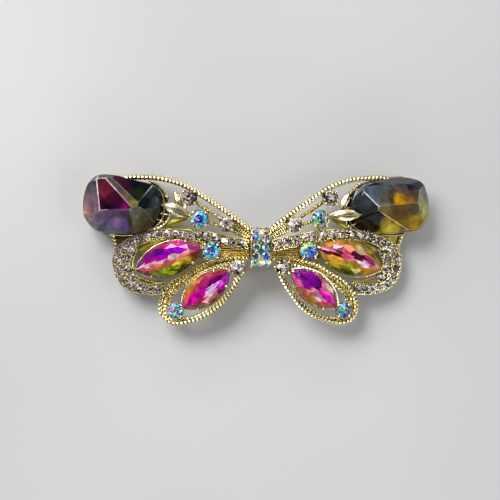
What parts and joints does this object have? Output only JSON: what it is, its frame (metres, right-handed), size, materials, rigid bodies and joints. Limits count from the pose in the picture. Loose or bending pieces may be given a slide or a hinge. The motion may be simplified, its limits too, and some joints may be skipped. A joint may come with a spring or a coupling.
{
  "type": "butterfly brooch",
  "caption": "Gilt butterfly brooch with beaded openwork wings, glass nuggets, marquise crystals and a pin with a rolling catch on the back.",
  "frame": {"origin": "middle of the bounding box in plan, on the plane that the brooch lies on with its back down", "axes": "+X across the wings towards the right wing, +Y towards the forewing tips, +Z out of the front"},
  "size_m": [0.0736, 0.0322, 0.0111],
  "materials": {
    "gilt_metal": "bright pale-gold plating on a cast zinc frame, polished and finely beaded",
    "aurora_crystal": "foil-backed glass rhinestone with a blue and green iridescent coating",
    "smoky_crystal": "foil-backed glass rhinestone, faint smoky mauve",
    "rose_green_crystal": "foil-backed glass with magenta, violet and olive-green bands",
    "amber_rose_crystal": "foil-backed glass with amber, rose and olive-green bands",
    "purple_nugget_glass": "polished glass nugget, wine, purple and slate with clear edges",
    "amber_nugget_glass": "polished glass nugget, slate, brown and amber with clear edges",
    "steel": "bright drawn steel wire, ground to a point",
    "plated_steel": "pale-gold plated pin finding, satin"
  },
  "bodies": {
    "brooch": {"body_barrel": "gilt_metal", "body_stones": "aurora_crystal", "catch_housing": "plated_steel", "hinge_rivet": "plated_steel", "left_aurora_cup_lower": "gilt_metal", "left_aurora_cup_middle": "gilt_metal", "left_aurora_cup_upper": "gilt_metal", "left_aurora_stone_lower": "aurora_crystal", "left_aurora_stone_middle": "aurora_crystal", "left_aurora_stone_upper": "aurora_crystal", "left_clear_cup_inner": "gilt_metal", "left_clear_cup_lower": "gilt_metal", "left_clear_cup_outer": "gilt_metal", "left_clear_stone_inner": "smoky_crystal", "left_clear_stone_lower": "smoky_crystal", "left_clear_stone_outer": "smoky_crystal", "left_corner_bracket": "gilt_metal", "left_forewing_frame": "gilt_metal", "left_hindwing_frame": "gilt_metal", "left_leaf_spray": "gilt_metal", "left_lower_navette": "rose_green_crystal", "left_lower_navette_cup": "gilt_metal", "left_nugget": "purple_nugget_glass", "left_nugget_tray": "gilt_metal", "left_pave_channel": "gilt_metal", "left_pave_stones": "smoky_crystal", "left_shoulder_plate": "gilt_metal", "left_upper_navette": "rose_green_crystal", "left_upper_navette_cup": "gilt_metal", "pin_bar": "plated_steel", "right_aurora_cup_lower": "gilt_metal", "right_aurora_cup_middle": "gilt_metal", "right_aurora_cup_upper": "gilt_metal", "right_aurora_stone_lower": "aurora_crystal", "right_aurora_stone_middle": "aurora_crystal", "right_aurora_stone_upper": "aurora_crystal", "right_clear_cup_inner": "gilt_metal", "right_clear_cup_lower": "gilt_metal", "right_clear_cup_outer": "gilt_metal", "right_clear_stone_inner": "smoky_crystal", "right_clear_stone_lower": "smoky_crystal", "right_clear_stone_outer": "smoky_crystal", "right_corner_bracket": "gilt_metal", "right_forewing_frame": "gilt_metal", "right_hindwing_frame": "gilt_metal", "right_leaf_spray": "gilt_metal", "right_lower_navette": "rose_green_crystal", "right_lower_navette_cup": "gilt_metal", "right_nugget": "amber_nugget_glass", "right_nugget_tray": "gilt_metal", "right_pave_channel": "gilt_metal", "right_pave_stones": "smoky_crystal", "right_shoulder_plate": "gilt_metal", "right_upper_navette": "amber_rose_crystal", "right_upper_navette_cup": "gilt_metal"},
    "pin": {"pin_stem": "steel"},
    "rotor": {"catch_rotor": "plated_steel"}
  },
  "joints": [
    {"name": "stem_hinge", "type": "hinge", "parent": "brooch", "child": "pin", "pos_m": [0.0113, 0, 0.0016], "axis": [0, -1, 0], "range_deg": [0, 80]},
    {"name": "catch_turn", "type": "hinge", "parent": "brooch", "child": "rotor", "pos_m": [-0.0126, 0, 0.0016], "axis": [-1, 0, 0], "range_deg": [0, 150]}
  ]
}
